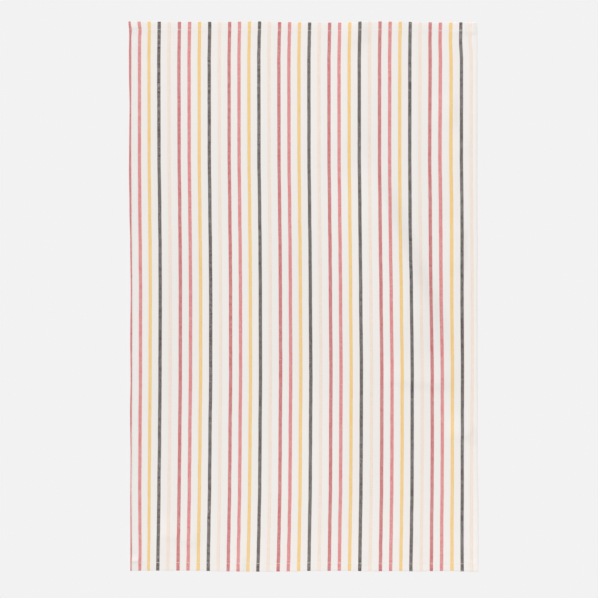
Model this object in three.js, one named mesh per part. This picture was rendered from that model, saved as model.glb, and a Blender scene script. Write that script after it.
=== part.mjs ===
// A cotton tea towel laid out flat, face up: one woven sheet, hemmed on all four sides.
// Millimetres, +Z up. +X runs across the towel and +Y along its stripes. The origin lies on
// the surface that the towel rests on, under the middle of its outline.
import * as THREE from 'three';

// Driving dimensions
const WIDTH = 450; // across, between the folded side edges
const LENGTH = 711; // along, between the folded ends
const CLOTH = 1.0; // one layer of the cloth, with its loft
const HEM = 2.2; // three layers of it, pressed and sewn
const SIDE_HEM = 10; // width of the hem along each side
const END_HEM = 12; // width of the hem across each end
const STITCH_IN = 1.5; // from a hem's inner edge out to its sewn line
const STITCH_DIP = 0.35; // how far the sewn line pulls the face in
const HEM_STEP = 0.4; // run of the short step under a hem's inner edge
const ROLL = 1.2; // width of the rounded outer edge
const EDGE_SHARE = 0.45; // share of the thickness left standing at the outer edge
const SETTLE = 40; // width over which the cloth sinks from a hem to the surface
const FOLD_FADE = 0.6; // share of a fold's half length over which it fades
const GRID = 14; // largest grid step of the open cloth

// How far the folded edges stray from straight, outward. `at` is a share of the edge's length.
// Down the sides, from the bottom end to the top end:
const SIDES = [
  { at: 0.0, left: -0.2, right: -0.1 },
  { at: 0.05, left: -0.1, right: 0.4 },
  { at: 0.12, left: 0.1, right: 0.3 },
  { at: 0.2, left: -0.3, right: -0.9 },
  { at: 0.29, left: 0.4, right: -0.7 },
  { at: 0.35, left: -0.4, right: -0.8 },
  { at: 0.42, left: 0.1, right: -0.9 },
  { at: 0.51, left: -0.5, right: -1.1 },
  { at: 0.6, left: 0.2, right: -0.8 },
  { at: 0.66, left: 1.2, right: -1.1 },
  { at: 0.73, left: 1.8, right: -1.1 },
  { at: 0.77, left: 1.55, right: -1.1 },
  { at: 0.85, left: 1.0, right: -0.9 },
  { at: 0.9, left: 1.75, right: -1.0 },
  { at: 0.945, left: 1.85, right: -1.0 },
  { at: 0.98, left: 1.4, right: -1.1 },
  { at: 1.0, left: 2.4, right: -1.4 },
];
// Across the ends, from the left side to the right side:
const ENDS = [
  { at: 0.0, bottom: -0.6, top: 0.2 },
  { at: 0.045, bottom: -0.9, top: 0.0 },
  { at: 0.15, bottom: -0.9, top: -0.15 },
  { at: 0.28, bottom: 0.0, top: -0.2 },
  { at: 0.37, bottom: 0.5, top: 0.3 },
  { at: 0.46, bottom: 0.1, top: -0.6 },
  { at: 0.52, bottom: -0.5, top: -1.0 },
  { at: 0.6, bottom: -0.6, top: -1.2 },
  { at: 0.7, bottom: 0.0, top: 0.5 },
  { at: 0.77, bottom: -0.3, top: 0.0 },
  { at: 0.83, bottom: 0.1, top: -0.5 },
  { at: 0.91, bottom: -0.5, top: -1.1 },
  { at: 1.0, bottom: 0.7, top: -0.7 },
];

// Soft folds that stand off the surface. x and y are the middle of a fold's crest from the left
// side and the bottom end, `turn` is its slant in degrees from the stripes, clockwise. It slopes
// down over `left` to one side of its crest and over `right` to the other.
const FOLDS = [
  { name: 'slanting fold', x: 358, y: 402, long: 292, left: 104, right: 24, turn: -22, high: 4.5 },
  { name: 'cross fold', x: 376, y: 245, long: 110, left: 42, right: 11, turn: 96, high: 2.0 },
  { name: 'right fold', x: 434, y: 176, long: 56, left: 30, right: 11, turn: 102, high: 1.5 },
  { name: 'corner fold', x: 62, y: 42, long: 70, left: 30, right: 10, turn: 105, high: 2.0 },
  { name: 'left swell', x: 34, y: 330, long: 300, left: 60, right: 60, turn: 3, high: 1.2 },
  { name: 'middle swell', x: 172, y: 360, long: 260, left: 80, right: 80, turn: -6, high: 1.2 },
  { name: 'top swell', x: 292, y: 600, long: 170, left: 70, right: 70, turn: 12, high: 1.0 },
  { name: 'lower swell', x: 262, y: 130, long: 190, left: 75, right: 75, turn: 24, high: 1.0 },
];

const clamp = (t) => THREE.MathUtils.clamp(t, 0, 1);
const smooth = (t) => t * t * (3 - 2 * t);

// A column of a table at a place between its rows.
function between(rows, column, at) {
  const next = Math.max(1, rows.findIndex((row) => row.at >= at));
  const [low, high] = [rows[next - 1], rows[next]];
  const part = smooth((at - low.at) / (high.at - low.at));
  return low[column] + (high[column] - low[column]) * part;
}

// One soft fold: a rounded ridge, sloping down at both sides and fading towards its ends.
function foldHeight(fold, u, v) {
  const angle = THREE.MathUtils.degToRad(fold.turn);
  const [du, dv] = [u - fold.x, v - fold.y];
  const across = du * Math.cos(angle) - dv * Math.sin(angle);
  const along = Math.abs(du * Math.sin(angle) + dv * Math.cos(angle)) / (fold.long / 2);
  const aside = Math.abs(across) / (across < 0 ? fold.left : fold.right);
  return fold.high * smooth(clamp(1 - aside)) * smooth(clamp((1 - along) / FOLD_FADE));
}

// Grid lines across a size: at the places where a hem changes, then even over the open cloth.
function gridLines(size, hem) {
  const sewn = hem - STITCH_IN;
  const start = hem + HEM_STEP;
  const border = [0, ROLL, sewn - STITCH_IN, sewn, hem];
  const steps = Math.ceil((size - 2 * start) / GRID);
  const open = Array.from({ length: steps + 1 }, (_, i) => start + ((size - 2 * start) * i) / steps);
  return [...border, ...open, ...border.map((mark) => size - mark).reverse()];
}

// Height that a hem gives the face at a distance in from its outer edge.
function hemRise(inward, hem) {
  const sunk = clamp((inward - hem) / SETTLE);
  const dip = Math.max(0, 1 - Math.abs(inward - (hem - STITCH_IN)) / STITCH_IN);
  return (HEM - CLOTH) * (1 - smooth(sunk)) - STITCH_DIP * dip;
}

// The heights of the face and the underside at one point: u in from the left side, v up from the
// bottom end, as on the towel pulled straight.
function heights(u, v) {
  const fromSide = Math.min(u, WIDTH - u);
  const fromEnd = Math.min(v, LENGTH - v);
  const lift = FOLDS.reduce((sum, fold) => sum + foldHeight(fold, u, v), 0);
  const rise = Math.hypot(hemRise(fromSide, SIDE_HEM), hemRise(fromEnd, END_HEM));
  const hemmed = fromSide <= SIDE_HEM || fromEnd <= END_HEM;
  const face = lift + CLOTH + rise;
  const under = lift + (hemmed ? 0 : rise);
  const atEdge = Math.min(fromSide, fromEnd) === 0;
  const tuck = atEdge ? ((1 - EDGE_SHARE) * (face - under)) / 2 : 0;
  return { face: face - tuck, under: under + tuck };
}

function towelGeometry() {
  const columns = gridLines(WIDTH, SIDE_HEM);
  const rows = gridLines(LENGTH, END_HEM);
  const layer = columns.length * rows.length;
  const points = new Float32Array(2 * layer * 3);
  rows.forEach((v, j) => {
    columns.forEach((u, i) => {
      const [across, along] = [u / WIDTH, v / LENGTH];
      const left = between(SIDES, 'left', along);
      const right = between(SIDES, 'right', along);
      const bottom = between(ENDS, 'bottom', across);
      const top = between(ENDS, 'top', across);
      const x = u - left * (1 - across) + right * across;
      const y = v - bottom * (1 - along) + top * along;
      const { face, under } = heights(u, v);
      const at = j * columns.length + i;
      points.set([x, y, face], 3 * at);
      points.set([x, y, under], 3 * (layer + at));
    });
  });

  const triangles = [];
  const quad = (a, b, c, d) => triangles.push(a, b, c, a, c, d);
  const face = (i, j) => j * columns.length + i;
  const under = (i, j) => layer + face(i, j);
  const [lastColumn, lastRow] = [columns.length - 1, rows.length - 1];
  for (let j = 0; j < lastRow; j++) {
    for (let i = 0; i < lastColumn; i++) {
      quad(face(i, j), face(i + 1, j), face(i + 1, j + 1), face(i, j + 1));
      quad(under(i, j), under(i, j + 1), under(i + 1, j + 1), under(i + 1, j));
    }
  }
  for (let i = 0; i < lastColumn; i++) {
    quad(under(i, 0), under(i + 1, 0), face(i + 1, 0), face(i, 0));
    quad(under(i + 1, lastRow), under(i, lastRow), face(i, lastRow), face(i + 1, lastRow));
  }
  for (let j = 0; j < lastRow; j++) {
    quad(under(0, j + 1), under(0, j), face(0, j), face(0, j + 1));
    quad(under(lastColumn, j), under(lastColumn, j + 1), face(lastColumn, j + 1), face(lastColumn, j));
  }

  const geometry = new THREE.BufferGeometry();
  geometry.setAttribute('position', new THREE.BufferAttribute(points, 3));
  geometry.setIndex(triangles);
  geometry.computeBoundingBox();
  const middle = geometry.boundingBox.getCenter(new THREE.Vector3());
  geometry.translate(-middle.x, -middle.y, 0);
  geometry.computeVertexNormals();
  return geometry;
}

const cotton = new THREE.MeshStandardMaterial({ color: 0xf2efea, roughness: 0.95, metalness: 0 });
const towel = new THREE.Mesh(towelGeometry(), cotton);
towel.name = 'towel';

const teaTowel = new THREE.Group();
teaTowel.add(towel);

export default teaTowel;
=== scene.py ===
"""A striped cotton tea towel laid out flat, face up, with turned and stitched hems.

One closed sheet of cloth is folded twice at each side and then twice at each end, as it is
sewn. A map called Yarn counts metres along its warp and weft, so that the stripes and the
weave run round the folds. Sizes are in millimetres, and MM turns them into Blender's metres.
"""
import math

import bpy
import numpy as np
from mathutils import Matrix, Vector


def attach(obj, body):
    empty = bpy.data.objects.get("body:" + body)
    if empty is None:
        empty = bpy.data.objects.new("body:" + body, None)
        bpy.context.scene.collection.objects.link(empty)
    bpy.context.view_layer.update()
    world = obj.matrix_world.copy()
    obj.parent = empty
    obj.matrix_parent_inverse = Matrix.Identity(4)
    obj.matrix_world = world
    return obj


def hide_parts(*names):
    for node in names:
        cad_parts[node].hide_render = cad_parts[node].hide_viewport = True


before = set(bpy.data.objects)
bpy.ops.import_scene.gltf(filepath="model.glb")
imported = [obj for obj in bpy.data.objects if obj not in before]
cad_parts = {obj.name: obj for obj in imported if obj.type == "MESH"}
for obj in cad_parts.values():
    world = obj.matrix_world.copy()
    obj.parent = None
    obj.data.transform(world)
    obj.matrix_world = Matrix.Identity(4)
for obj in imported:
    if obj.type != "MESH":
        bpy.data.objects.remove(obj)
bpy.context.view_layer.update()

# ---- Sizes of the towel ----

MM = 0.001
WIDTH, LENGTH = 450.0, 711.0  # between the folded edges
CLOTH = 0.32  # one layer, with its loft
LAYER = 0.34  # from one pressed layer of a hem to the next
SIDE_HEM, END_HEM = 10.0, 12.0
TUCK_SHORT = 1.8  # the turned-in raw edge stops this far short of the outer fold
STITCH_IN = 1.5  # from a hem's inner edge out to its sewn line
SEAM_WIDE = 1.0  # half width of the groove that the sewn line makes
SEAM_PRESS = 0.02  # share of a hem's thickness that the seam takes out
PILLOW = 0.04  # share by which a hem is fuller between its seam and its fold
STEP, STEP_RUN = 0.4, 6.0  # share of a hem's height lost at its inner edge, and over what width
SETTLE = 40.0  # width over which the cloth sinks the rest of the way to the surface
PUCKER, LUMPS = 0.06, 0.05  # shares by which a hem's thickness varies, closely and widely
CORNER_PRESS = 0.4  # share by which the hem in a corner is pressed thinner
EDGE_BEND = math.pi / 2 * LAYER  # cloth in half of an outer fold, or in a whole inner one
OPEN_STEP = 3.35  # grid step of the open cloth

# Stitches and thread
STITCH_PITCH = 2.7
STITCH_GAP = 0.4
THREAD = 0.46

# Warp and weft
END_PITCH, PICK_PITCH = 0.5413, 0.56  # one warp end, one weft pick
STRIPE_ENDS = 8  # coloured ends in a stripe
REPEAT_ENDS = 24  # ends from one stripe to the next
FIRST_STRIPE = -1.0  # middle of the first stripe, in from the left fold
STRIPES = (  # dyed yarns in their order from the left side
    ("deep red", (0.605, 0.152, 0.158)),
    ("coral", (0.738, 0.234, 0.238)),
    ("yellow", (0.895, 0.614, 0.216)),
    ("charcoal", (0.080, 0.058, 0.054)),
    ("pale peach", (0.885, 0.765, 0.675)),
)
WHITE_YARN = (0.868, 0.836, 0.808)
THREAD_WHITE = (0.950, 0.935, 0.915)
FLOOR_WHITE = (0.888, 0.888, 0.888)
COVER, COVER_VARIES, COVER_SPECKS = 0.68, 1.8, 3.1  # how far the weft shows, broadly and in specks
BARE_PATCHES = (36.0, 22.0, 22.0)  # how many patches of it there are in a metre, across and along
FLECKS = 0.24  # how much the depth of a dyed yarn varies from speck to speck
ENDS_PAINTED_PALER = 0.022  # painted light: how much paler the dyes are painted towards the ends, as if more light fell there
PALER_FROM, PALER_TO = 0.08, 0.34  # metres from the middle between which that painted paleness grows
HEM_STARTS, HEM_FULL = 0.335, 0.35  # metres from the middle between which that stops again

# Light
WALLS, CEILING = 1.25, 0.75  # how light the room is at its foot and overhead, before scaling
FAR_WALL = 0.12  # how much lighter or darker it is away from the side light and towards it
SIDE_LIGHT = 0.2  # share of the light that comes from the upper left
SIDE_RISE, SIDE_WIDE = 21.5, 40.0  # how high that light stands and how wide it looks, in degrees
END_LIGHT = 0.088  # what the light over an end adds under it
END_LIGHT_UP, END_LIGHT_OUT = 250.0, 40.0  # how high it hangs, and how far beyond the end
END_LIGHT_ASIDE = 40.0  # how far from the middle, to the left over the top end
END_LIGHT_SIZE = (600.0, 100.0)
END_LIGHT_TINT = (1.12, 0.97, 0.96)
FLOOR_HALF, FLOOR_DROP = 40.0, 0.1  # metres to each side; how far below the towel it lies

# How far the folded edges stray from straight, outward. `at` is a share of the edge's length.
SIDES = (  # down the sides, from the bottom end to the top end
    {"at": 0.0, "left": -0.2, "right": -0.1},
    {"at": 0.05, "left": -0.1, "right": 0.4},
    {"at": 0.12, "left": 0.1, "right": 0.3},
    {"at": 0.2, "left": -0.3, "right": -0.9},
    {"at": 0.29, "left": 0.4, "right": -0.7},
    {"at": 0.35, "left": -0.4, "right": -0.8},
    {"at": 0.42, "left": 0.1, "right": -0.9},
    {"at": 0.51, "left": -0.5, "right": -1.1},
    {"at": 0.6, "left": 0.2, "right": -0.8},
    {"at": 0.66, "left": 1.2, "right": -1.1},
    {"at": 0.73, "left": 1.8, "right": -1.1},
    {"at": 0.77, "left": 1.55, "right": -1.1},
    {"at": 0.85, "left": 1.0, "right": -0.9},
    {"at": 0.9, "left": 1.75, "right": -1.0},
    {"at": 0.945, "left": 1.85, "right": -1.0},
    {"at": 0.98, "left": 1.4, "right": -1.1},
    {"at": 1.0, "left": 2.4, "right": -1.4},
)
ENDS = (  # across the ends, from the left side to the right side
    {"at": 0.0, "bottom": -0.6, "top": 0.2},
    {"at": 0.045, "bottom": -0.9, "top": 0.0},
    {"at": 0.15, "bottom": -0.9, "top": -0.15},
    {"at": 0.28, "bottom": 0.0, "top": -0.2},
    {"at": 0.37, "bottom": 0.5, "top": 0.3},
    {"at": 0.46, "bottom": 0.1, "top": -0.6},
    {"at": 0.52, "bottom": -0.5, "top": -1.0},
    {"at": 0.6, "bottom": -0.6, "top": -1.2},
    {"at": 0.7, "bottom": 0.0, "top": 0.5},
    {"at": 0.77, "bottom": -0.3, "top": 0.0},
    {"at": 0.83, "bottom": 0.1, "top": -0.5},
    {"at": 0.91, "bottom": -0.5, "top": -1.1},
    {"at": 1.0, "bottom": 0.7, "top": -0.7},
)
# How far the stripes drift to the right of straight, at nine places across the towel.
DRIFT_AT = {
    "left": 0.015, "near": 0.075, "quarter": 0.23, "middle": 0.375, "past": 0.575,
    "three": 0.8, "far": 0.875, "right": 0.95, "edge": 0.985,
}
DRIFT = (
    {"at": 0.0, "left": 0.8, "near": -2.4, "quarter": -2.1, "middle": -2.9, "past": -1.6,
     "three": 0.1, "far": 0.6, "right": 1.5, "edge": 1.1},
    {"at": 0.04, "left": 1.1, "near": -2.0, "quarter": -1.9, "middle": -2.2, "past": -1.2,
     "three": 0.5, "far": 0.9, "right": 1.5, "edge": 0.4},
    {"at": 0.08, "left": 0.7, "near": -1.5, "quarter": -1.3, "middle": -1.5, "past": -0.8,
     "three": 1.0, "far": 1.0, "right": 1.5, "edge": 0.4},
    {"at": 0.15, "left": 0.4, "near": -1.0, "quarter": -0.5, "middle": -0.6, "past": 0.0,
     "three": 1.6, "far": 1.6, "right": 1.8, "edge": 0.7},
    {"at": 0.24, "left": 0.7, "near": -0.2, "quarter": 0.1, "middle": -0.1, "past": 0.3,
     "three": 1.9, "far": 1.9, "right": 1.8, "edge": 0.7},
    {"at": 0.36, "left": 1.3, "near": 0.5, "quarter": 1.0, "middle": 0.5, "past": 0.7,
     "three": 1.9, "far": 1.7, "right": 2.0, "edge": 1.8},
    {"at": 0.51, "left": 1.4, "near": 0.8, "quarter": 1.0, "middle": 0.3, "past": 0.0,
     "three": 0.6, "far": 0.0, "right": 1.4, "edge": 1.5},
    {"at": 0.585, "left": 1.0, "near": 0.6, "quarter": 0.6, "middle": 0.0, "past": -0.4,
     "three": -0.4, "far": -0.4, "right": 1.4, "edge": 1.2},
    {"at": 0.65, "left": 0.4, "near": 0.0, "quarter": 0.0, "middle": -0.6, "past": -1.0,
     "three": -0.9, "far": -0.7, "right": 1.4, "edge": 0.8},
    {"at": 0.76, "left": 0.0, "near": -0.9, "quarter": -0.8, "middle": -1.5, "past": -1.8,
     "three": -1.3, "far": -1.5, "right": 0.6, "edge": 0.2},
    {"at": 0.93, "left": 0.1, "near": -1.2, "quarter": -0.9, "middle": -1.7, "past": -1.9,
     "three": -1.2, "far": -0.9, "right": 0.7, "edge": 0.3},
    {"at": 0.97, "left": 0.2, "near": -0.8, "quarter": -0.5, "middle": -1.3, "past": -1.4,
     "three": -1.0, "far": -1.1, "right": -0.5, "edge": -1.4},
    {"at": 0.983, "left": 1.0, "near": -0.6, "quarter": -0.3, "middle": -0.9, "past": -1.2,
     "three": -0.8, "far": -1.0, "right": -0.3, "edge": -1.3},
    {"at": 1.0, "left": -0.7, "near": -0.6, "quarter": -0.2, "middle": -0.7, "past": -1.0,
     "three": -0.6, "far": -0.8, "right": -0.1, "edge": -1.2},
)

# Soft folds that stand off the surface. x and y are the middle of a fold's crest from the left
# side and the bottom end, `turn` its slant from the stripes in degrees, clockwise. It slopes down
# over `left` to one side of its crest and over `right` to the other.
FOLD_FADE = 0.6  # share of a fold's half length over which it fades
FOLDS = (
    {"name": "slanting fold", "x": 358, "y": 402, "long": 292,
     "left": 104, "right": 24, "turn": -22, "high": 4.5},
    {"name": "cross fold", "x": 376, "y": 245, "long": 110,
     "left": 42, "right": 11, "turn": 96, "high": 2.0},
    {"name": "right fold", "x": 434, "y": 176, "long": 56,
     "left": 30, "right": 11, "turn": 102, "high": 1.5},
    {"name": "corner fold", "x": 62, "y": 42, "long": 70,
     "left": 30, "right": 10, "turn": 105, "high": 2.0},
    {"name": "left swell", "x": 34, "y": 330, "long": 300,
     "left": 60, "right": 60, "turn": 3, "high": 1.2},
    {"name": "middle swell", "x": 172, "y": 360, "long": 260,
     "left": 80, "right": 80, "turn": -6, "high": 1.2},
    {"name": "top swell", "x": 292, "y": 600, "long": 170,
     "left": 70, "right": 70, "turn": 12, "high": 1.0},
    {"name": "lower swell", "x": 262, "y": 130, "long": 190,
     "left": 75, "right": 75, "turn": 24, "high": 1.0},
)

# Small creases, told the same way.
CREASES = (
    {"name": "left edge curl", "x": -0.5, "y": 355, "long": 1800,
     "left": 6, "right": 6, "turn": 0, "high": 0.55},
    {"name": "right edge curl", "x": 451, "y": 355, "long": 1800,
     "left": 12, "right": 12, "turn": 0, "high": 0.85},
    {"name": "bottom edge curl", "x": 225, "y": -1, "long": 1800,
     "left": 12, "right": 12, "turn": 90, "high": 0.45},
    {"name": "bottom hem ridge", "x": 225, "y": 24, "long": 1200,
     "left": 30, "right": 10, "turn": 90, "high": 0.28},
    {"name": "top hem dent", "x": 299, "y": 698, "long": 38,
     "left": 34, "right": 13, "turn": 0, "high": 1.6},
    {"name": "top left tuck", "x": 8, "y": 704, "long": 22,
     "left": 5, "right": 5, "turn": 90, "high": 0.9},
    {"name": "top corner dip", "x": 434, "y": 706, "long": 30,
     "left": 20, "right": 7, "turn": 0, "high": 0.4},
    {"name": "top corner fold", "x": 444, "y": 706, "long": 28,
     "left": 6, "right": 5, "turn": 0, "high": 0.75},
    {"name": "upper right crease", "x": 416, "y": 597, "long": 48,
     "left": 34, "right": 11, "turn": -5, "high": 1.1},
    {"name": "upper side crease", "x": 434, "y": 551, "long": 36,
     "left": 20, "right": 9, "turn": 0, "high": 0.5},
    {"name": "right side crease", "x": 429, "y": 420, "long": 76,
     "left": 36, "right": 10, "turn": 0, "high": 1.0},
    {"name": "lower diagonal", "x": 352, "y": 42, "long": 46,
     "left": 16, "right": 8, "turn": 118, "high": 0.9},
    {"name": "fold tail", "x": 300, "y": 540, "long": 150,
     "left": 80, "right": 22, "turn": -20, "high": 0.55},
    {"name": "right fold dip", "x": 436, "y": 181, "long": 30,
     "left": 50, "right": 10, "turn": 45, "high": 1.1},
    {"name": "bottom hem dent", "x": 143, "y": 9, "long": 30,
     "left": 26, "right": 9, "turn": 0, "high": 1.1},
    {"name": "bottom hem dimple", "x": 157, "y": 9, "long": 28,
     "left": 6, "right": 8, "turn": 0, "high": 0.6},
    {"name": "bottom left tuck", "x": 6, "y": 13, "long": 20,
     "left": 8, "right": 3.5, "turn": 90, "high": 1.1},
    {"name": "bottom left dip", "x": 7, "y": 12, "long": 26,
     "left": 8, "right": 11, "turn": 90, "high": 0.6},
    {"name": "bottom right dent", "x": 300, "y": 14, "long": 20,
     "left": 20, "right": 8, "turn": 0, "high": 0.6},
)


def smooth(part):
    part = np.clip(part, 0.0, 1.0)
    return part * part * (3 - 2 * part)


def between(rows, column, at):
    """A column of a table at places between its rows, eased."""
    marks = np.array([row["at"] for row in rows])
    values = np.array([row[column] for row in rows])
    low = np.clip(np.searchsorted(marks, at) - 1, 0, len(rows) - 2)
    part = smooth((at - marks[low]) / (marks[low + 1] - marks[low]))
    return values[low] + (values[low + 1] - values[low]) * part


def uneven(at, lengths, start):
    """A gentle wave between -1 and 1 that never quite repeats, from a few wave lengths."""
    waves = [np.sin(2 * np.pi * at / long + start * (k + 1.7)) for k, long in enumerate(lengths)]
    return sum(waves) / len(waves)


def fold_height(fold, u, v):
    """One soft fold: a rounded ridge, sloping down at both sides and fading towards its ends."""
    angle = math.radians(fold["turn"])
    du, dv = u - fold["x"], v - fold["y"]
    across = du * math.cos(angle) - dv * math.sin(angle)
    along = np.abs(du * math.sin(angle) + dv * math.cos(angle)) / (fold["long"] / 2)
    across = np.abs(across) / np.where(across < 0, fold["left"], fold["right"])
    return fold["high"] * smooth(1 - across) * smooth((1 - along) / FOLD_FADE)


# ---- The folded cloth ----


def sunk(beyond):
    """How far the cloth has come down from a hem, as a share, at a distance from its inner edge."""
    return STEP * smooth(beyond / STEP_RUN) + (1 - STEP) * smooth(beyond / SETTLE)


class Hem:
    """The way the cloth runs at one pair of edges. A place on it is measured from the outermost
    point of the first fold, over the face to the other fold and on; what is turned under at the
    first fold has places below zero."""

    def __init__(self, size, wide):
        self.size, self.wide = size, wide
        self.slack = EDGE_BEND - LAYER - CLOTH / 2  # from a place on the face to its distance in
        self.inner_fold = wide + EDGE_BEND - 1.5 * LAYER - CLOTH / 2  # where the cloth turns back
        self.turned_back = self.inner_fold + EDGE_BEND
        self.raw_edge = self.turned_back + wide - LAYER / 2 - CLOTH / 2 - TUCK_SHORT
        self.across = size + 2 * self.slack  # face, from fold to fold
        self.seam = wide - STITCH_IN + self.slack
        self.cut = self.across + 2 * self.raw_edge

    def lines(self):
        """Grid lines over the cut cloth, from one raw edge to the other."""
        level = self.wide + self.slack + SETTLE / 4
        half = np.concatenate([
            np.linspace(-self.raw_edge, -self.turned_back, 3),
            np.linspace(-self.turned_back, -self.inner_fold, 5)[1:],
            np.linspace(-self.inner_fold, -self.seam, 3)[1:],
            np.linspace(-self.seam, -EDGE_BEND, 5)[1:],
            np.linspace(-EDGE_BEND, EDGE_BEND, 7)[1:],
            np.linspace(EDGE_BEND, self.seam - SEAM_WIDE, 4)[1:],
            self.seam + SEAM_WIDE * np.array([-0.4, 0.0, 0.4, 1.0, 2.0]),
            np.linspace(self.seam + 2 * SEAM_WIDE, self.seam + 2 * SEAM_WIDE + STEP_RUN, 5)[1:],
            [level],
        ])
        steps = math.ceil((self.across - 2 * level) / OPEN_STEP)
        middle = np.linspace(level, self.across - level, steps + 1)[1:-1]
        return np.concatenate([half, middle, self.across - half[::-1]])

    def fold(self, place, off, stack, layer):
        """Folds a stack of cloth over at both edges. `off` is how far a point lies above the
        stack's middle, `layer` the spacing of the hem's layers. Gives the distance from the
        first edge and the height."""
        near = np.where(place < self.across / 2, place, self.across - place)
        parts = [near <= -self.turned_back, near <= -self.inner_fold, near <= -EDGE_BEND, near <= EDGE_BEND]
        inner_turn = np.pi * ((-near - self.inner_fold) / EDGE_BEND - 0.5)
        outer_turn = np.pi / 2 * near / EDGE_BEND
        inner_at = self.wide - LAYER / 2 - CLOTH / 2
        still = np.zeros_like(near)
        middle = np.select(parts, [
            inner_at + near + self.turned_back,
            inner_at + layer / 2 * np.cos(inner_turn),
            LAYER - near - EDGE_BEND,
            LAYER - layer * np.cos(outer_turn),
        ], LAYER + near - EDGE_BEND)
        edge = 1 - smooth((np.abs(near) - EDGE_BEND) / 5)
        middle = middle + CLOTH / 2 + edge * (stack / 2 - CLOTH / 2 + layer - LAYER)
        level = np.select(parts, [
            still + 1.0,
            0.5 + 0.5 * np.sin(inner_turn),
            still,
            1.0 + np.sin(outer_turn),
        ], 2 * (1 - sunk(middle - self.wide)))
        face_in = np.select(parts, [still, np.cos(inner_turn), still, -np.cos(outer_turn)], still)
        face_up = np.select(parts, [still + 1, np.sin(inner_turn), still - 1, np.sin(outer_turn)], still + 1)
        inward = middle + off * face_in
        height = stack / 2 + level * layer + off * face_up
        half = stack / 2 + layer
        groove = np.exp(-(((middle - (self.wide - STITCH_IN)) / SEAM_WIDE) ** 2))
        height = half + (height - half) * (1 - SEAM_PRESS * groove)
        return np.where(place >= self.across / 2, self.size - inward, inward), height

    def distance(self, place):
        """Roughly how far in from the nearer edge a place lies, turned under or not."""
        near = np.abs(np.where(place < self.across / 2, place, self.across - place))
        return np.where(near > self.turned_back, near - self.turned_back, near - self.slack)

    def fullness(self, place, along, start):
        """How much fuller than pressed flat the hem is: a pillow between its seam and its fold,
        and puckers along it."""
        belly = np.sin(np.pi * np.clip(self.distance(place) / (self.wide - STITCH_IN), 0, 1))
        pucker = PUCKER * (1 + uneven(along, (9.7, 14.3, 23.0), start))
        lumps = LUMPS * (1 + uneven(along, (61.0, 97.0), start + 2))
        return 1 + PILLOW * belly + pucker + lumps


SIDE, END = Hem(WIDTH, SIDE_HEM), Hem(LENGTH, END_HEM)


def straight_point(s, t, side):
    """A point of the cloth on the towel lying straight: s and t are its places across and
    along the cut cloth, `side` is 1 on the face and -1 on the back."""
    side_layer = LAYER * SIDE.fullness(s, t, 1.0)
    x, height = SIDE.fold(s, side * CLOTH / 2, CLOTH, side_layer)

    # The ends are turned after the sides, so what is folded there is a stack of up to three
    # layers, pressed thinner in the corners.
    inward = np.minimum(x, WIDTH - x)
    hemmed = 1 - sunk(inward - SIDE_HEM)
    stack = CLOTH + 2 * hemmed * np.where(np.abs(inward) < SIDE_HEM + SETTLE, side_layer, LAYER)
    cornered = hemmed * (1 - sunk(END.distance(t) - END_HEM))
    press = 1 - CORNER_PRESS * cornered
    end_layer = stack * press + LAYER * END.fullness(t, s, 2.0) - CLOTH
    y, z = END.fold(t, (height - stack / 2) * press, stack * press, end_layer)
    return x, y, z


def lay_out(x, y, z):
    """Lays the straight towel out: its edges stray and its folds rise."""
    u, v = x / WIDTH, y / LENGTH
    rise = sum(fold_height(fold, x, y) for fold in FOLDS + CREASES)
    return (
        x - between(SIDES, "left", v) * (1 - u) + between(SIDES, "right", v) * u,
        y - between(ENDS, "bottom", u) * (1 - v) + between(ENDS, "top", u) * v,
        z + rise,
    )


def stripe_drift(x, y):
    """How far the warp strays to the right at a point of the straight towel."""
    u, v = x / WIDTH, y / LENGTH
    columns = list(DRIFT_AT)
    drift = between(DRIFT, columns[0], v)
    for name, onward in zip(columns, columns[1:]):
        part = smooth((u - DRIFT_AT[name]) / (DRIFT_AT[onward] - DRIFT_AT[name]))
        drift = drift + (between(DRIFT, onward, v) - between(DRIFT, name, v)) * part
    return drift


def outline_centre():
    """The middle of the laid-out towel's outline, which is the frame's origin."""
    along = np.linspace(0, 1, 2001)
    left, right = -between(SIDES, "left", along), WIDTH + between(SIDES, "right", along)
    bottom, top = -between(ENDS, "bottom", along), LENGTH + between(ENDS, "top", along)
    return (left.min() + right.max()) / 2, (bottom.min() + top.max()) / 2


CENTRE = outline_centre()


def in_frame(x, y, z):
    return np.stack([(x - CENTRE[0]) * MM, (y - CENTRE[1]) * MM, z * MM], axis=-1)


def cloth_point(s, t, side=1):
    return in_frame(*lay_out(*straight_point(s, t, side)))


# ---- Meshes ----


def new_object(name, mesh):
    piece = bpy.data.objects.new(name, mesh)
    bpy.context.scene.collection.objects.link(piece)
    return piece


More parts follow.
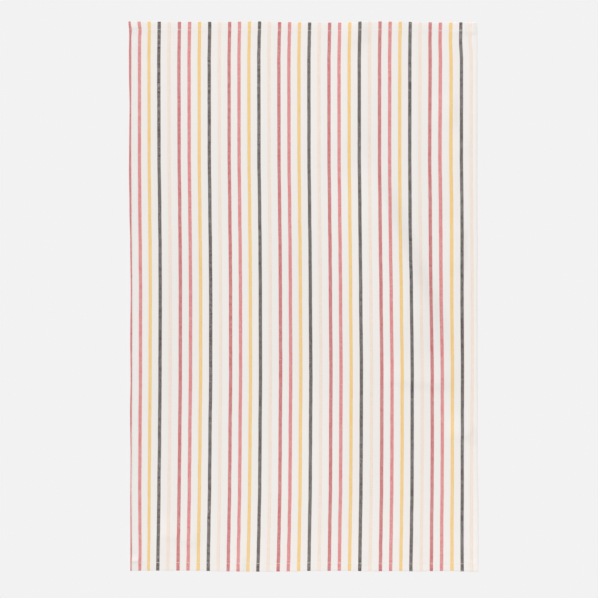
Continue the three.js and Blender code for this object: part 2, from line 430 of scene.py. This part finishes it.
def make_cloth():
    """The closed sheet: a grid on the face, one on the back, and a rim round the raw edges."""
    s, t = np.meshgrid(SIDE.lines(), END.lines())
    rows, columns = s.shape
    points = np.concatenate([cloth_point(s, t, side).reshape(-1, 3) for side in (1, -1)])

    i, j = np.meshgrid(np.arange(columns - 1), np.arange(rows - 1))
    corner = (j * columns + i).ravel()
    face = np.stack([corner, corner + 1, corner + 1 + columns, corner + columns], axis=1)
    under = rows * columns
    bottom, top = np.arange(columns), (rows - 1) * columns + np.arange(columns)
    left, right = np.arange(rows) * columns, np.arange(rows) * columns + columns - 1
    ring = np.concatenate([bottom[:-1], right[:-1], top[:0:-1], left[:0:-1]])
    onward = np.roll(ring, -1)
    rim = np.stack([ring + under, onward + under, onward, ring], axis=1)
    faces = np.concatenate([face, face[:, ::-1] + under, rim])

    mesh = bpy.data.meshes.new("towel_cloth")
    mesh.from_pydata(points.tolist(), [], faces.tolist())
    mesh.polygons.foreach_set("use_smooth", [True] * len(faces))

    # The warp strays, and the folds needn't follow it, so the map takes the strayed yarn back.
    x, y, z = straight_point(s, t, 1)
    laid_x = lay_out(x, y, z)[0]
    warp = (s - FIRST_STRIPE + laid_x - x - stripe_drift(x, y)) * MM
    yarn = np.tile(np.stack([warp.ravel(), t.ravel() * MM], axis=1), (2, 1))
    mesh.uv_layers.new(name="Yarn").data.foreach_set("uv", yarn[faces.ravel()].ravel())
    return new_object("towel_cloth", mesh)


def seam_runs():
    """Each sewn line as places (s, t) on the cloth: along both sides first, then both ends.
    On the face a side's line goes on round the ends' folds, as the cloth does."""
    step = 1.2
    round_end = END.inner_fold
    t_face = np.arange(-round_end, END.across + round_end, step)
    t_back = np.arange(END_HEM + END.slack + 1.0, END.across - END_HEM - END.slack - 1.0, step)
    s_all = np.arange(2.0, SIDE.across - 2.0, step)
    for edge in (-1, 1):
        for under in (False, True):
            seam = -SIDE.seam if under else SIDE.seam
            t = t_back if under else t_face
            yield np.full_like(t, seam if edge < 0 else SIDE.across - seam), t
    for edge in (-1, 1):
        for under in (False, True):
            seam = -END.seam if under else END.seam
            yield s_all, np.full_like(s_all, seam if edge < 0 else END.across - seam)


def make_seam_lines():
    """The sewn lines as bare edges with the direction away from the cloth at each point."""
    points, edges, facing = [], [], []
    for s, t in seam_runs():
        surface = cloth_point(s, t)
        away = surface - cloth_point(s, t, -1)
        away /= np.linalg.norm(away, axis=1, keepdims=True)
        edges.extend((k, k + 1) for k in range(len(points), len(points) + len(s) - 1))
        points.extend(surface.tolist())
        facing.extend(away.tolist())
    mesh = bpy.data.meshes.new("seam_lines")
    mesh.from_pydata(points, edges, [])
    mesh.attributes.new("facing", "FLOAT_VECTOR", "POINT").data.foreach_set("vector", np.ravel(facing))
    return new_object("seam_lines", mesh)


def make_floor():
    half, drop = FLOOR_HALF, FLOOR_DROP * MM
    corners = [(-half, -half, -drop), (half, -half, -drop), (half, half, -drop), (-half, half, -drop)]
    mesh = bpy.data.meshes.new("floor")
    mesh.from_pydata(corners, [], [(0, 1, 2, 3)])
    return new_object("floor", mesh)


# ---- Node trees ----


def put(tree, kind, inputs=None, **settings):
    """Adds a node. `inputs` gives a socket, by its name or number, a value or another's output."""
    node = tree.nodes.new(kind)
    for name, value in settings.items():
        setattr(node, name, value)
    for key, value in (inputs or {}).items():
        if isinstance(value, bpy.types.NodeSocket):
            tree.links.new(value, node.inputs[key])
        else:
            node.inputs[key].default_value = value
    return node


def calc(tree, operation, *values):
    return put(tree, "ShaderNodeMath", dict(enumerate(values)), operation=operation).outputs[0]


def blend(tree, part, low, high, mode="MIX"):
    """A colour between two others, or one laid on the other by a blend mode."""
    node = put(tree, "ShaderNodeMix", data_type="RGBA", blend_type=mode)
    colours = [socket for socket in node.inputs if socket.type == "RGBA"]
    for socket, value in ((node.inputs["Factor"], part), (colours[0], low), (colours[1], high)):
        if isinstance(value, bpy.types.NodeSocket):
            tree.links.new(value, socket)
        else:
            socket.default_value = value if socket.type == "VALUE" else (*value, 1.0)
    return next(socket for socket in node.outputs if socket.type == "RGBA")


def ranged(tree, value, low, high, to_low=0.0, to_high=1.0):
    numbers = {0: value, 1: low, 2: high, 3: to_low, 4: to_high}
    return put(tree, "ShaderNodeMapRange", numbers, interpolation_type="SMOOTHSTEP").outputs[0]


def new_group(name, kind, inputs, outputs):
    """A node group with named sockets; gives the tree, its inputs by name and its output node."""
    group = bpy.data.node_groups.new(name, kind)
    for label, (socket_type, value) in inputs.items():
        socket = group.interface.new_socket(name=label, in_out="INPUT", socket_type=socket_type)
        if value is not None:
            socket.default_value = value
    for label, socket_type in outputs.items():
        group.interface.new_socket(name=label, in_out="OUTPUT", socket_type=socket_type)
    entry = group.nodes.new("NodeGroupInput")
    return group, entry.outputs, group.nodes.new("NodeGroupOutput")


def finish_group(group, exit_node, **results):
    for label, socket in results.items():
        group.links.new(socket, exit_node.inputs[label.replace("_", " ")])
    return group


def use_group(tree, group, **inputs):
    node = tree.nodes.new("ShaderNodeGroup")
    node.node_tree = group
    for name, value in inputs.items():
        socket = node.inputs[name.replace("_", " ")]
        if isinstance(value, bpy.types.NodeSocket):
            tree.links.new(value, socket)
        else:
            socket.default_value = value
    return node.outputs


# ---- Surface effects shared by the cloth and the thread ----

FLOAT, VECTOR, COLOR = "NodeSocketFloat", "NodeSocketVector", "NodeSocketColor"


def yarn_unevenness():
    """How spun yarn varies: its depth of colour, fine specks of fibre, and barer patches."""
    group, given, out = new_group("yarn unevenness", "ShaderNodeTree", {
        "Place": (VECTOR, None), "Strand": (FLOAT, 0.0),
        "Long": (FLOAT, 30 * MM), "Specks": (FLOAT, 1.1 * MM), "Specks Wide": (FLOAT, 9 * MM),
    }, {"Depth": FLOAT, "Speck": FLOAT, "Bare": FLOAT})
    parts = put(group, "ShaderNodeSeparateXYZ", {0: given["Place"]}).outputs
    along = calc(group, "DIVIDE", parts[1], given["Long"])
    strand = calc(group, "MULTIPLY", given["Strand"], 7.31)
    lane = put(group, "ShaderNodeCombineXYZ", {0: strand, 1: along}).outputs[0]
    depth = put(group, "ShaderNodeTexNoise", {"Vector": lane, "Scale": 1.9, "Detail": 2.0})
    wide, long = given["Specks Wide"], given["Specks"]
    sizes = put(group, "ShaderNodeCombineXYZ", {0: wide, 1: long, 2: long}).outputs[0]
    fine = put(group, "ShaderNodeVectorMath", {0: given["Place"], 1: sizes}, operation="DIVIDE").outputs[0]
    speck = put(group, "ShaderNodeTexNoise", {"Vector": fine, "Scale": 1.0, "Detail": 1.0, "Roughness": 0.8})
    broad = put(group, "ShaderNodeVectorMath", {0: given["Place"], 1: BARE_PATCHES},
                operation="MULTIPLY").outputs[0]
    bare = put(group, "ShaderNodeTexNoise", {"Vector": broad, "Scale": 1.0, "Detail": 5.0, "Roughness": 0.9})
    return finish_group(
        group, out, Bare=bare.outputs[0],
        Depth=ranged(group, depth.outputs[0], 0.3, 0.7),
        Speck=speck.outputs[0],
    )


def yarn_count():
    """Which warp end and weft pick a place lies on, and where between their edges."""
    group, given, out = new_group("yarn count", "ShaderNodeTree", {
        "Place": (VECTOR, None), "End Pitch": (FLOAT, END_PITCH * MM), "Pick Pitch": (FLOAT, PICK_PITCH * MM),
        "Wander": (FLOAT, 0.3 * MM),
    }, {"End": FLOAT, "Pick": FLOAT, "In End": FLOAT, "In Pick": FLOAT})
    stray = put(group, "ShaderNodeTexNoise", {"Vector": given["Place"], "Scale": 70.0, "Detail": 1.0},
                noise_dimensions="2D").outputs["Color"]
    stray = put(group, "ShaderNodeVectorMath", {0: stray, 1: (0.5, 0.5, 0.5)},
                operation="SUBTRACT").outputs[0]
    stray = put(group, "ShaderNodeVectorMath", {0: stray, "Scale": given["Wander"]},
                operation="SCALE").outputs[0]
    place = put(group, "ShaderNodeVectorMath", {0: given["Place"], 1: stray}, operation="ADD").outputs[0]
    parts = put(group, "ShaderNodeSeparateXYZ", {0: place}).outputs
    results = {}
    for name, part, pitch in (("End", parts[0], "End Pitch"), ("Pick", parts[1], "Pick Pitch")):
        counted = calc(group, "DIVIDE", part, given[pitch])
        whole = calc(group, "FLOOR", counted)
        results[name] = whole
        results["In_" + name] = calc(group, "SUBTRACT", calc(group, "SUBTRACT", counted, whole), 0.5)
    return finish_group(group, out, **results)


def plain_weave():
    """One yarn over, one under: the spots where the weft lies on top, and the raised yarns."""
    group, given, out = new_group("plain weave", "ShaderNodeTree", {
        "End": (FLOAT, 0.0), "Pick": (FLOAT, 0.0), "In End": (FLOAT, 0.0), "In Pick": (FLOAT, 0.0),
        "Spot Wide": (FLOAT, 0.44), "Spot Long": (FLOAT, 0.36),
    }, {"Weft": FLOAT, "Height": FLOAT})
    crossing = calc(group, "FLOORED_MODULO", calc(group, "ADD", given["End"], given["Pick"]), 2.0)
    wide = calc(group, "DIVIDE", given["In End"], given["Spot Wide"])
    long = calc(group, "DIVIDE", given["In Pick"], given["Spot Long"])
    away = calc(group, "SQRT", calc(group, "ADD", calc(group, "MULTIPLY", wide, wide),
                                    calc(group, "MULTIPLY", long, long)))
    spot = calc(group, "MULTIPLY", crossing, ranged(group, away, 1.15, 0.75))
    end_round = calc(group, "COSINE", calc(group, "MULTIPLY", given["In End"], math.pi))
    pick_round = calc(group, "COSINE", calc(group, "MULTIPLY", given["In Pick"], math.pi))
    over = calc(group, "SUBTRACT", 1.0, crossing)
    crimp = calc(group, "MULTIPLY", over, pick_round)
    warp = calc(group, "MULTIPLY", end_round, calc(group, "MULTIPLY_ADD", crimp, 0.5, 0.5))
    weft = calc(group, "MULTIPLY", calc(group, "MULTIPLY", pick_round, end_round), spot)
    return finish_group(group, out, Weft=spot, Height=calc(group, "MAXIMUM", warp, weft))


def stripe_order():
    """The dyed yarn of each warp end, and whether it is dyed at all."""
    group, given, out = new_group("stripe order", "ShaderNodeTree", {"End": (FLOAT, 0.0)},
                                  {"Dyed": FLOAT, "Yarn Colour": COLOR})
    end = calc(group, "ADD", given["End"], STRIPE_ENDS / 2)
    in_repeat = calc(group, "FLOORED_MODULO", end, REPEAT_ENDS)
    dyed = calc(group, "LESS_THAN", in_repeat, STRIPE_ENDS - 0.5)
    stripe = calc(group, "FLOOR", calc(group, "DIVIDE", end, REPEAT_ENDS))
    turn = calc(group, "FLOORED_MODULO", stripe, len(STRIPES))
    share = calc(group, "DIVIDE", calc(group, "ADD", turn, 0.5), len(STRIPES))
    ramp = put(group, "ShaderNodeValToRGB", {0: share})
    ramp.color_ramp.interpolation = "CONSTANT"
    for k, (_, dye) in enumerate(STRIPES):
        stops = ramp.color_ramp.elements
        stop = stops[k] if k < 2 else stops.new(k / len(STRIPES))
        stop.position = k / len(STRIPES)
        stop.color = (*dye, 1.0)
    return finish_group(group, out, Dyed=dyed, Yarn_Colour=ramp.outputs[0])


UNEVENNESS, COUNT, WEAVE, STRIPE_ORDER = yarn_unevenness(), yarn_count(), plain_weave(), stripe_order()


# ---- Materials ----


def new_material(name, **constants):
    material = bpy.data.materials.new(name)
    material.use_nodes = True
    shader = material.node_tree.nodes["Principled BSDF"]
    for socket, value in constants.items():
        shader.inputs[socket.replace("_", " ")].default_value = value
    return material, material.node_tree, shader


def striped_cotton():
    material, tree, shader = new_material(
        "striped_cotton", Specular_IOR_Level=0.2, Sheen_Weight=0.12, Sheen_Roughness=0.5)
    place = put(tree, "ShaderNodeUVMap", uv_map="Yarn").outputs[0]
    count = use_group(tree, COUNT, Place=place)
    weave = use_group(tree, WEAVE, End=count["End"], Pick=count["Pick"], In_End=count["In End"],
                      In_Pick=count["In Pick"])
    stripe = use_group(tree, STRIPE_ORDER, End=count["End"])
    spun = use_group(tree, UNEVENNESS, Place=place, Strand=count["End"])

    deeper = put(tree, "ShaderNodeGamma", {0: stripe["Yarn Colour"], 1: 1.22}).outputs[0]
    dye = blend(tree, spun["Depth"], stripe["Yarn Colour"], deeper)
    length = put(tree, "ShaderNodeSeparateXYZ", {0: place}).outputs[1]
    # Painted light: the dyes are painted paler from the middle towards the ends, as if more light fell there,
    # but not on the hems.
    from_middle = calc(tree, "ABSOLUTE", calc(tree, "SUBTRACT", length, END.across / 2 * MM))
    painted_paler = calc(tree, "MULTIPLY", ranged(tree, from_middle, PALER_FROM, PALER_TO, 0.0, ENDS_PAINTED_PALER),
                ranged(tree, from_middle, HEM_STARTS, HEM_FULL, 1.0, 0.0))
    dye = blend(tree, painted_paler, dye, WHITE_YARN)
    fleck = calc(tree, "MULTIPLY_ADD", calc(tree, "SUBTRACT", 0.5, spun["Speck"]), FLECKS, 1.0)
    dye = put(tree, "ShaderNodeVectorMath", {0: dye, "Scale": fleck}, operation="SCALE").outputs[0]
    warp = blend(tree, stripe["Dyed"], WHITE_YARN, dye)
    bare, speck = (calc(tree, "SUBTRACT", spun[name], 0.5) for name in ("Bare", "Speck"))
    cover = calc(tree, "MULTIPLY_ADD", bare, COVER_VARIES, COVER)
    cover = calc(tree, "MULTIPLY_ADD", speck, COVER_SPECKS, cover)
    cover = calc(tree, "MULTIPLY", weave["Weft"], cover)
    weft_shows = put(tree, "ShaderNodeClamp", {0: cover}).outputs[0]
    cotton = blend(tree, weft_shows, warp, WHITE_YARN)
    tree.links.new(cotton, shader.inputs["Base Color"])
    tree.links.new(ranged(tree, weave["Height"], 0.0, 1.0, 0.95, 0.86), shader.inputs["Roughness"])
    bump = put(tree, "ShaderNodeBump", {"Height": weave["Height"], "Distance": 0.03 * MM, "Strength": 0.8})
    tree.links.new(bump.outputs[0], shader.inputs["Normal"])
    return material


def sewing_thread():
    material, tree, shader = new_material("sewing_thread", Specular_IOR_Level=0.3, Sheen_Weight=0.1)
    place = put(tree, "ShaderNodeTexCoord").outputs["Object"]
    fibre = use_group(tree, UNEVENNESS, Place=place, Long=8 * MM, Specks=0.3 * MM, Specks_Wide=0.3 * MM)
    colour = blend(tree, fibre["Speck"], THREAD_WHITE, tuple(0.93 * part for part in THREAD_WHITE))
    tree.links.new(colour, shader.inputs["Base Color"])
    tree.links.new(ranged(tree, fibre["Depth"], 0.0, 1.0, 0.5, 0.62), shader.inputs["Roughness"])
    parts = put(tree, "ShaderNodeSeparateXYZ", {0: place}).outputs
    slant = calc(tree, "MULTIPLY", calc(tree, "ADD", parts[0], parts[1]), 2 * math.pi / (0.28 * MM))
    bump = put(tree, "ShaderNodeBump", {"Height": calc(tree, "SINE", slant), "Distance": 0.02 * MM})
    tree.links.new(bump.outputs[0], shader.inputs["Normal"])
    return material


def pale_floor():
    """A light table: it glows evenly, so that no shadow shows round the towel."""
    return new_material("pale_floor", Base_Color=(0, 0, 0, 1), Roughness=1.0, Specular_IOR_Level=0.0,
                        Emission_Color=(*FLOOR_WHITE, 1.0), Emission_Strength=1.0)[0]


# ---- Stitches ----


def stitch_tree(thread):
    """Sews along bare edges: one low arch of thread for each stitch, a little uneven."""
    tree, given, out = new_group("lockstitch", "GeometryNodeTree", {
        "Seam Lines": ("NodeSocketGeometry", None),
        "Stitch Pitch": (FLOAT, STITCH_PITCH * MM), "Stitch Gap": (FLOAT, STITCH_GAP * MM),
        "Thread": (FLOAT, THREAD * MM), "Seed": ("NodeSocketInt", 4),
    }, {"Stitches": "NodeSocketGeometry"})
    seams = put(tree, "GeometryNodeMeshToCurve", {0: given["Seam Lines"]}).outputs[0]
    seams = put(tree, "GeometryNodeResampleCurve", {"Curve": seams, "Length": given["Stitch Pitch"]},
                mode="LENGTH").outputs[0]

    half = calc(tree, "MULTIPLY", calc(tree, "SUBTRACT", given["Stitch Pitch"], given["Stitch Gap"]), 0.5)
    buried = calc(tree, "MULTIPLY", given["Thread"], -0.45)
    start = put(tree, "ShaderNodeCombineXYZ", {0: calc(tree, "MULTIPLY", half, -1.0), 2: buried}).outputs[0]
    end = put(tree, "ShaderNodeCombineXYZ", {0: half, 2: buried}).outputs[0]
    crown = put(tree, "ShaderNodeCombineXYZ", {2: calc(tree, "MULTIPLY", given["Thread"], 0.9)}).outputs[0]
    arch = put(tree, "GeometryNodeCurveQuadraticBezier",
               {"Resolution": 6, "Start": start, "Middle": crown, "End": end}).outputs[0]
    section = put(tree, "GeometryNodeCurvePrimitiveCircle",
                  {"Resolution": 5, "Radius": calc(tree, "MULTIPLY", given["Thread"], 0.5)}).outputs[0]
    stitch = put(tree, "GeometryNodeCurveToMesh",
                 {"Curve": arch, "Profile Curve": section, "Fill Caps": True}).outputs[0]

    along = tree.nodes.new("GeometryNodeInputTangent").outputs[0]
    away = put(tree, "GeometryNodeInputNamedAttribute", {"Name": "facing"},
               data_type="FLOAT_VECTOR").outputs[0]
    turned = put(tree, "FunctionNodeAlignRotationToVector", {"Vector": along}, axis="X").outputs[0]
    turned = put(tree, "FunctionNodeAlignRotationToVector", {"Rotation": turned, "Vector": away},
                 axis="Z", pivot_axis="X").outputs[0]
    swing = put(tree, "FunctionNodeRandomValue", {"Seed": given["Seed"]}, data_type="FLOAT_VECTOR")
    swing.inputs[0].default_value = (0.0, 0.0, -0.07)
    swing.inputs[1].default_value = (0.0, 0.0, 0.07)
    turned = put(tree, "FunctionNodeRotateRotation", {"Rotation": turned, "Rotate By": swing.outputs[0]},
                 rotation_space="LOCAL").outputs[0]
    size = put(tree, "FunctionNodeRandomValue", {"Seed": calc(tree, "ADD", given["Seed"], 1.0)},
               data_type="FLOAT_VECTOR")
    size.inputs[0].default_value = (0.92, 0.9, 0.8)
    size.inputs[1].default_value = (1.04, 1.1, 1.2)
    sewn = put(tree, "GeometryNodeInstanceOnPoints",
               {"Points": seams, "Instance": stitch, "Rotation": turned, "Scale": size.outputs[0]}).outputs[0]
    sewn = put(tree, "GeometryNodeRealizeInstances", {0: sewn}).outputs[0]
    sewn = put(tree, "GeometryNodeSetMaterial", {"Geometry": sewn, "Material": thread}).outputs[0]
    return finish_group(tree, out, Stitches=sewn)


def make_stitches(thread):
    seam_lines = make_seam_lines()
    sewing = seam_lines.modifiers.new("sewing", "NODES")
    sewing.node_group = stitch_tree(thread)
    sizes = {"Stitch Pitch": STITCH_PITCH * MM, "Stitch Gap": STITCH_GAP * MM, "Thread": THREAD * MM}
    for socket in sewing.node_group.interface.items_tree:
        if socket.name in sizes:
            sewing[socket.identifier] = sizes[socket.name]
    evaluated = seam_lines.evaluated_get(bpy.context.evaluated_depsgraph_get())
    mesh = bpy.data.meshes.new_from_object(evaluated)
    bpy.data.objects.remove(seam_lines)
    mesh.name = "hem_stitches"
    for point in mesh.vertices:  # what lies under the towel is pressed flat
        point.co.z = max(point.co.z, 0.0)
    mesh.polygons.foreach_set("use_smooth", [True] * len(mesh.polygons))
    return new_object("hem_stitches", mesh)


# ---- Light and camera ----


def aim(lamp, towards):
    lamp.rotation_euler = towards.to_track_quat("Z", "Y").to_euler()
    bpy.context.scene.collection.objects.link(lamp)


def light_studio():
    """Soft light from a pale room, whose walls are lighter than its ceiling, a low soft light from
    the upper left, and a faint light over each end."""
    scene = bpy.context.scene
    scene.view_settings.view_transform = "Standard"
    window = Vector((-0.82, 0.57, 0)).normalized()
    world = bpy.data.worlds.new("pale_room")
    world.use_nodes = True
    room = world.node_tree
    towards = put(room, "ShaderNodeTexCoord").outputs["Generated"]
    up = put(room, "ShaderNodeSeparateXYZ", {0: towards}).outputs[2]
    level = (1 - SIDE_LIGHT - END_LIGHT / 3) / (WALLS - 2 / 3 * (WALLS - CEILING))
    bright = put(room, "ShaderNodeMapRange", {0: up, 3: level * WALLS, 4: level * CEILING}).outputs[0]
    away = put(room, "ShaderNodeVectorMath", {0: towards, 1: -window},
               operation="DOT_PRODUCT").outputs["Value"]
    bright = calc(room, "MULTIPLY", bright, calc(room, "MULTIPLY_ADD", away, FAR_WALL, 1.0))
    room.nodes["Background"].inputs["Color"].default_value = (1, 1, 1, 1)
    room.links.new(bright, room.nodes["Background"].inputs["Strength"])
    scene.world = world

    rise = math.radians(SIDE_RISE)
    soft = bpy.data.lights.new("side_light", "SUN")
    soft.energy = SIDE_LIGHT * math.pi / math.sin(rise)
    soft.angle = math.radians(SIDE_WIDE)
    aim(bpy.data.objects.new("side_light", soft), window * math.cos(rise) + Vector((0, 0, math.sin(rise))))

    height = END_LIGHT_UP * MM
    for end in (-1, 1):
        glow = bpy.data.lights.new("end_light", "AREA")
        glow.shape = "RECTANGLE"
        glow.size, glow.size_y = (side * MM for side in END_LIGHT_SIZE)
        glow.energy = END_LIGHT * math.pi ** 2 * height * height
        glow.color = END_LIGHT_TINT
        lamp = bpy.data.objects.new("end_light", glow)
        lamp.location = (-END_LIGHT_ASIDE * end * MM, end * (LENGTH / 2 + END_LIGHT_OUT) * MM, height)
        aim(lamp, Vector((0, 0, 1)))


def place_camera():
    """Straight above the towel, a little nearer its left side and its bottom end."""
    above = (218.17, 352.23)  # from the left side and the bottom end
    view_width = 773.8 * MM
    data = bpy.data.cameras.new("camera")
    data.lens, data.sensor_width = 100, 36
    camera = bpy.data.objects.new("camera", data)
    camera.location = in_frame(*above, view_width / MM * data.lens / data.sensor_width)
    bpy.context.scene.collection.objects.link(camera)
    bpy.context.scene.camera = camera


# ---- The scene ----

place_camera()
light_studio()

cloth = make_cloth()
cloth.data.materials.append(striped_cotton())
stitches = make_stitches(sewing_thread())
floor = make_floor()
floor.data.materials.append(pale_floor())

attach(cloth, "root")
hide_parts("towel")
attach(stitches, "root")
